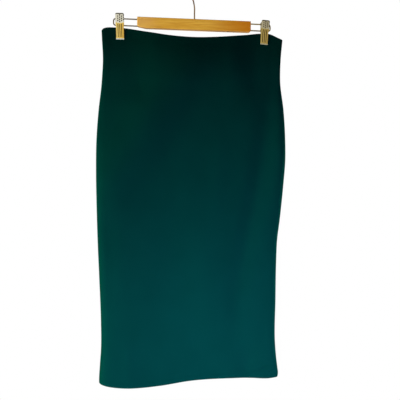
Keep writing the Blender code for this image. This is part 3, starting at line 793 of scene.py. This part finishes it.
def wirePiece(name, points, radius, material, node):
    # A round wire through points, each ring square to its way, with rounded ends.
    path = [Vector(point) for point in points]
    bm = bmesh.new()
    last = None
    stations = []
    start = (path[1] - path[0]).normalized()
    end = (path[-1] - path[-2]).normalized()
    for share in (0.45, 0.86):
        stations.append((path[0] - start * radius * math.sqrt(1 - share**2) * 0.6, start, radius * share))
    for i, point in enumerate(path):
        before = path[max(i - 1, 0)]
        after = path[min(i + 1, len(path) - 1)]
        stations.append((point, (after - before).normalized(), radius))
    for share in (0.86, 0.45):
        stations.append((path[-1] + end * radius * math.sqrt(1 - share**2) * 0.6, end, radius * share))
    for spot, way, size in stations:
        made = bmesh.ops.create_circle(bm, cap_ends=False, segments=16, radius=size)
        side = Vector((0, 1, 0))
        up = way.cross(side).normalized()
        frameTurn = Matrix((side, up, way)).transposed().to_4x4()
        bmesh.ops.transform(bm, matrix=Matrix.Translation(spot) @ frameTurn, verts=made["verts"])
        edges = list({edge for vert in made["verts"] for edge in vert.link_edges})
        if last:
            bmesh.ops.bridge_loops(bm, edges=last + edges)
        else:
            bmesh.ops.contextual_create(bm, geom=edges)
        last = edges
    bmesh.ops.contextual_create(bm, geom=last)
    bmesh.ops.recalc_face_normals(bm, faces=bm.faces)
    showPiece(name, bm, material, node)


def wireLoop(side, end):
    out = math.copysign(1, end)
    inner = out * (bar["length"] / 2 - bar["holeDepth"] + bar["holeSlack"])
    turnX = abs(end) - loops["corner"]
    upper = arc((turnX, loops["top"] - loops["corner"]), loops["corner"], 90, 0, 8)
    lower = arc((turnX, loops["bottom"] + loops["corner"]), loops["corner"], 0, -90, 8)
    bend = [(out * x, 0, z) for x, z in [*upper, *lower]]
    points = [(inner, 0, loops["top"]), *bend, (inner, 0, loops["bottom"])]
    name = f"wireLoop{side.title()}"
    wirePiece(name, points, loops["wire"], loopMetals[side], f"wire_loop_{side}")


hook = {
    "wire": 0.0015, "radius": 0.0215, "join": 232, "tip": -28,  # the crook's ends, in degrees
    "neck": [  # x, z
        (0.0000, -0.0780), (0.0000, -0.0625), (-0.0012, -0.0550), (-0.0031, -0.0470), (-0.0070, -0.0415),
    ],
    "steps": 90,
}


def hangerHook():
    centre = (0, hook["wire"] - hook["radius"])
    crook = list(arc(centre, hook["radius"], hook["join"], hook["tip"], (hook["join"] - hook["tip"]) // 10))
    route = hook["neck"] + crook
    along = np.concatenate([[0], np.cumsum([math.dist(a, b) for a, b in zip(route, route[1:])])])
    reads = [smoothCurve(zip(along, axis)) for axis in zip(*route)]
    smooth = [(reads[0](t), 0, reads[1](t)) for t in np.linspace(0, along[-1], hook["steps"])]
    inBar = (0, 0, bar["top"] - bar["holeDepth"] + bar["holeSlack"])
    points = [inBar, (0, 0, bar["top"]), *smooth]
    wirePiece("hangerHook", points, hook["wire"], hookMetal, "hanger_hook")


hangerHook()
wireLoop("left", loops["left"])
wireLoop("right", loops["right"])
print("bar, hook and loops made")


clip = {
    "sheet": 0.0009, "edge": 0.0002,
    "half": 0.0086,  # to the inner side of its cheeks
    "nest": 0.0012,  # the back plate's cheeks go inside the front plate's
    "past": 0.0016,  # the cheeks reach this far past the middle
    "earMiddle": -0.1022, "earReach": 0.0056,
    "rim": 0.0012, "rimTop": -0.0862, "rimFoot": -0.1140,
    "columns": 56,
    "edgeColumns": 5,
    "rows": 168,
    "flutes": 4, "fluteDepth": 0.0008, "fluteTop": -0.1082, "fluteBottom": -0.1372,
    "dimpleDepth": 0.0006, "dimpleRadius": 0.0019, "dimplePitch": 0.0045,
    "dimpleTop": -0.0900, "dimpleBottom": -0.1043,
    "dimpleWorth": {-1: 0.65, 0: 1.0, 1: 1.0, 2: 0.9},  # by column: worn smooth on the left
    "dimpleTall": 1.2, "dimpleClose": 0.93,  # against round ones in square rows
    "footBow": 0.0016, "footScallop": 0.0005,
    "rolledTop": -0.0888, "marks": -0.1392, "lipTop": -0.1398,
    "tab": {"Left": 1.0, "Right": 0.90},  # the right tab stands shorter to the eye
}
jawStand = hold["half"] + skirt["bandProud"] + skirt["seamGap"]
plateRows = [  # height, distance of the inner side from the middle, width
    (-0.0856, 0.0086, 0.80), (-0.0862, 0.0091, 0.90), (-0.0870, 0.0093, 0.97), (-0.0885, 0.0093, 1.00),
    (-0.0945, 0.0088, 1.00), (-0.1068, 0.0066, 1.00), (-0.1080, 0.0062, 0.98), (-0.1122, 0.0042, 0.96),
    (-0.1157, jawStand, 0.94), (-0.1382, jawStand, 0.92), (-0.1397, jawStand + 0.0003, 0.94),
    (-0.1424, jawStand + 0.0016, 0.98),
]
readStand = straightCurve([(row[0], row[1]) for row in plateRows])
readWidth = straightCurve([(row[0], row[2]) for row in plateRows])


def onClip(x, lean, point):
    leaned = Matrix.Rotation(lean, 3, "Y") @ Vector((point[0], point[1], point[2] - pivotZ))
    return leaned + Vector((x, 0, pivotZ))


def cheekAt(z):  # how far the side turns in: a rounded ear between the wires, a low rim elsewhere
    full = readStand(z) + clip["past"]
    t = min(abs(z - clip["earMiddle"]) / clip["earReach"], 1.0)
    ear = full * math.sqrt(1 - t**4)
    rim = clip["rim"] * ease((clip["rimTop"] - z) / 0.003) * ease((z - clip["rimFoot"]) / 0.004)
    return max(ear, rim)


def fieldFoot(px):  # the dimpled field ends in a scalloped curve
    bow = clip["footBow"] * (1 - (px / clip["half"]) ** 2)
    return clip["dimpleBottom"] - bow - clip["footScallop"] * math.cos(px / clip["dimplePitch"] * 2 * math.pi)


def dentAt(px, z):  # 0 to 1 in the staggered round dents of the finger tab
    pitch = clip["dimplePitch"]
    deepest = 0.0
    for column, worth in clip["dimpleWorth"].items():
        z0 = clip["dimpleTop"] - (pitch / 2 if column % 2 else 0.0)
        while z0 > fieldFoot(px) + 0.6 * clip["dimpleRadius"]:
            beside = px - column * pitch * clip["dimpleClose"]
            away = math.hypot(beside, (z - z0) / clip["dimpleTall"]) / clip["dimpleRadius"]
            deepest = max(deepest, worth * (1 - away**2))
            z0 -= pitch
    return deepest


def clipPlate(side, x, lean, face):
    nest = clip["nest"] if face == "back" else 0.0
    out = 1 if face == "back" else -1
    edge = clip["edgeColumns"]
    total = clip["columns"] + 2 * edge
    bm = bmesh.new()
    bmesh.ops.create_grid(bm, x_segments=total, y_segments=clip["rows"], size=1)
    for layer in ("shadeAndMarks", "zone", "side"):
        bm.verts.layers.float.new(layer)
    shadeAndMarksOf, zoneOf, sideOf = [bm.verts.layers.float[layer] for layer in ("shadeAndMarks", "zone", "side")]
    top, bottom = plateRows[0][0], plateRows[-1][0]
    for vert in bm.verts:
        z = mix(top, bottom, (1 - vert.co.y) / 2)
        column = round((vert.co.x + 1) / 2 * total) - edge
        across = 2 * min(max(column / clip["columns"], 0), 1) - 1
        px = across * (clip["half"] - nest) * readWidth(z)
        py = readStand(z)
        past = max(-column, column - clip["columns"], 0) / edge
        foot = fieldFoot(px)
        topFade = ease((foot - 0.0016 - z) / 0.0012)
        footFade = ease((z - clip["fluteBottom"]) / 0.0010)
        wave = (1 + math.cos(math.pi * clip["flutes"] * (across + 1))) / 2  # 1 in the grooves
        groove = ease(3.2 * wave - 0.45) * topFade * footFade
        dent = dentAt(px, z) if z > foot else 0.0
        if past:
            cheek = cheekAt(z)
            px += math.copysign(0.0004 * past * (1 - min(cheek / 0.001, 1)), across)
            py -= cheek * past
            groove = 0.0
        else:
            py += clip["fluteDepth"] * (1 - wave**2) * topFade * footFade
            py -= clip["dimpleDepth"] * dent**1.5
        rolledEdgeShade = ease((z - clip["rolledTop"]) / 0.0010)  # the tab's top edge turns away, and gets painted shade
        marks = 0.7 * (1 - wave) * ease(1 - abs(z - clip["marks"]) / 0.0012)
        marks *= ease((0.95 - abs(across)) / 0.1)
        inner = min(1.0, 4 * (1 - abs(across)))  # painted shade in the grooves stops short of the plate's edges
        # painted shade in the grooves, the dents and the turned top edge, and dark marks above the lip
        vert[shadeAndMarksOf] = max(groove * inner, ease(1.9 * dent), 0.85 * rolledEdgeShade, marks)
        # Zones for the plating's colours: 0 on the lip, 0.3 on the jaw, 0.56 at the field's
        # foot and 1 on the tab.
        if z > foot - 0.0014:
            vert[zoneOf] = mix(0.56, 1.0, ease((z - foot + 0.0009) / 0.0012))
        else:
            vert[zoneOf] = 0.30 if z > clip["lipTop"] else 0.0
        vert[sideOf] = min(max(0.5 + 0.5 * across + past * 0.5, 0.0), 1.0)
        if z > clip["fluteTop"]:
            z = mix(clip["fluteTop"], z, clip["tab"][side])
        vert.co = onClip(x, lean, (px, out * py, z))
    if face == "back":
        bmesh.ops.reverse_faces(bm, faces=bm.faces)
    name = f"clip{side}{face.title()}Plate"
    piece = showPiece(name, bm, clipMetals[side], f"clip_{side.lower()}_{face}_plate")
    addWall(piece, clip["sheet"], even=False)
    addRounding(piece, clip["edge"])


spring = {
    "width": 0.010, "sheet": 0.0007, "edge": 0.00015,
    "top": -0.0890, "bottom": -0.1050,
    "steps": 40,
}


def clipSpring(side, x, lean):
    spread = readStand(spring["top"]) - skirt["seamGap"] - spring["sheet"]
    bm = bmesh.new()
    bmesh.ops.create_grid(bm, x_segments=6, y_segments=spring["steps"], size=1)
    for vert in bm.verts:
        angle = math.pi * (1 - vert.co.y) / 2
        z = mix(spring["top"], spring["bottom"], math.sin(angle))
        vert.co = onClip(x, lean, (spring["width"] * vert.co.x / 2, -spread * math.cos(angle), z))
    piece = showPiece(f"clip{side}Spring", bm, springMetal, f"clip_{side.lower()}_spring")
    addWall(piece, spring["sheet"])
    addRounding(piece, spring["edge"])


for clipSide, clipX, clipLean in clips:
    clipPlate(clipSide, clipX, clipLean, "front")
    clipPlate(clipSide, clipX, clipLean, "back")
    clipSpring(clipSide, clipX, clipLean)
print("clips made")


# The camera sees white behind everything, and no light comes from it, so that the dark cloth
# is lit by the lamps alone. Shiny metal mirrors a dim room.
stage = {"white": "ffffff", "room": "e8e0cf", "roomStrength": 1.15, "floorZ": -1.45}


def whiteForCamera(tree, kind):  # white to the camera, a dim room to shiny metal, dark to the rest
    path = addNode(tree, "ShaderNodeLightPath")
    seen = addNode(tree, kind, {"Color": hexColour(stage["white"]), "Strength": 1.0})
    dark = addNode(tree, kind, {"Color": (0, 0, 0, 1), "Strength": 0.0})
    around = addNode(tree, kind, {"Color": hexColour(stage["room"]), "Strength": stage["roomStrength"]})
    unseen = addNode(tree, "ShaderNodeMixShader", {0: path.outputs["Is Glossy Ray"]})
    tree.links.new(dark.outputs[0], unseen.inputs[1])
    tree.links.new(around.outputs[0], unseen.inputs[2])
    mixed = addNode(tree, "ShaderNodeMixShader", {0: path.outputs["Is Camera Ray"]})
    tree.links.new(unseen.outputs[0], mixed.inputs[1])
    tree.links.new(seen.outputs[0], mixed.inputs[2])
    return mixed.outputs[0]


def addFloor():
    bm = bmesh.new()
    bmesh.ops.create_grid(bm, x_segments=1, y_segments=1, size=30)
    bmesh.ops.translate(bm, vec=(0, 0, stage["floorZ"]), verts=bm.verts)
    mesh = bpy.data.meshes.new("floor")
    bm.to_mesh(mesh)
    bm.free()
    material = bpy.data.materials.new("pale floor")
    material.use_nodes = True
    tree = material.node_tree
    tree.nodes.clear()
    output = addNode(tree, "ShaderNodeOutputMaterial")
    tree.links.new(whiteForCamera(tree, "ShaderNodeEmission"), output.inputs["Surface"])
    mesh.materials.append(material)
    floor = bpy.data.objects.new("floor", mesh)
    scene.collection.objects.link(floor)


def addWorld():
    world = bpy.data.worlds.new("studio")
    world.use_nodes = True
    tree = world.node_tree
    tree.nodes.clear()
    output = addNode(tree, "ShaderNodeOutputWorld")
    tree.links.new(whiteForCamera(tree, "ShaderNodeBackground"), output.inputs["Surface"])
    scene.world = world


def areaLight(name, place, target, size, beam, watts, colour):
    light = bpy.data.lights.new(name, "AREA")
    light.shape = "RECTANGLE"
    light.size, light.size_y = size
    light.spread = math.radians(beam)
    light.energy = watts
    light.color = hexColour(colour)[:3]
    lamp = bpy.data.objects.new(name, light)
    lamp.location = place
    lamp.rotation_euler = (Vector(target) - Vector(place)).to_track_quat("-Z", "Y").to_euler()
    lamp.visible_camera = False
    lamp.visible_glossy = False  # metal and varnish mirror the room instead
    scene.collection.objects.link(lamp)


# Name, place, target, size, beam in degrees, watts and colour. Each has its like behind.
lamps = [
    ("low key", (0.10, -0.65, -0.90), (0.04, 0.0, -0.84), (0.5, 0.28), 180, 8.0, "e5e7ff"),
    ("low right", (0.35, -0.65, -0.90), (0.14, 0.0, -0.84), (0.5, 0.28), 125, 4.3, "e5e7ff"),
    ("low left", (-0.15, -0.65, -0.90), (-0.06, 0.0, -0.84), (0.5, 0.28), 100, 1.95, "e5e7ff"),
    ("left side", (-2.00, -0.509, -1.20), (-0.05, 0.0, -0.75), (0.4, 0.4), 180, 140.0, "f3ffcb"),
    ("left rim", (-2.00, -0.130, -1.50), (-0.20, 0.0, -0.70), (0.4, 0.4), 180, 120.0, "eeffc8"),
]

addFloor()
addWorld()
for name, place, target, *rest in lamps:
    areaLight(name, place, target, *rest)
    turned = [(-x, -y, z) for x, y, z in (place, target)]
    areaLight(name + " behind", *turned, *rest)
scene.view_settings.view_transform = "Standard"
scene.view_settings.look = "None"
print("floor, world and lights set")
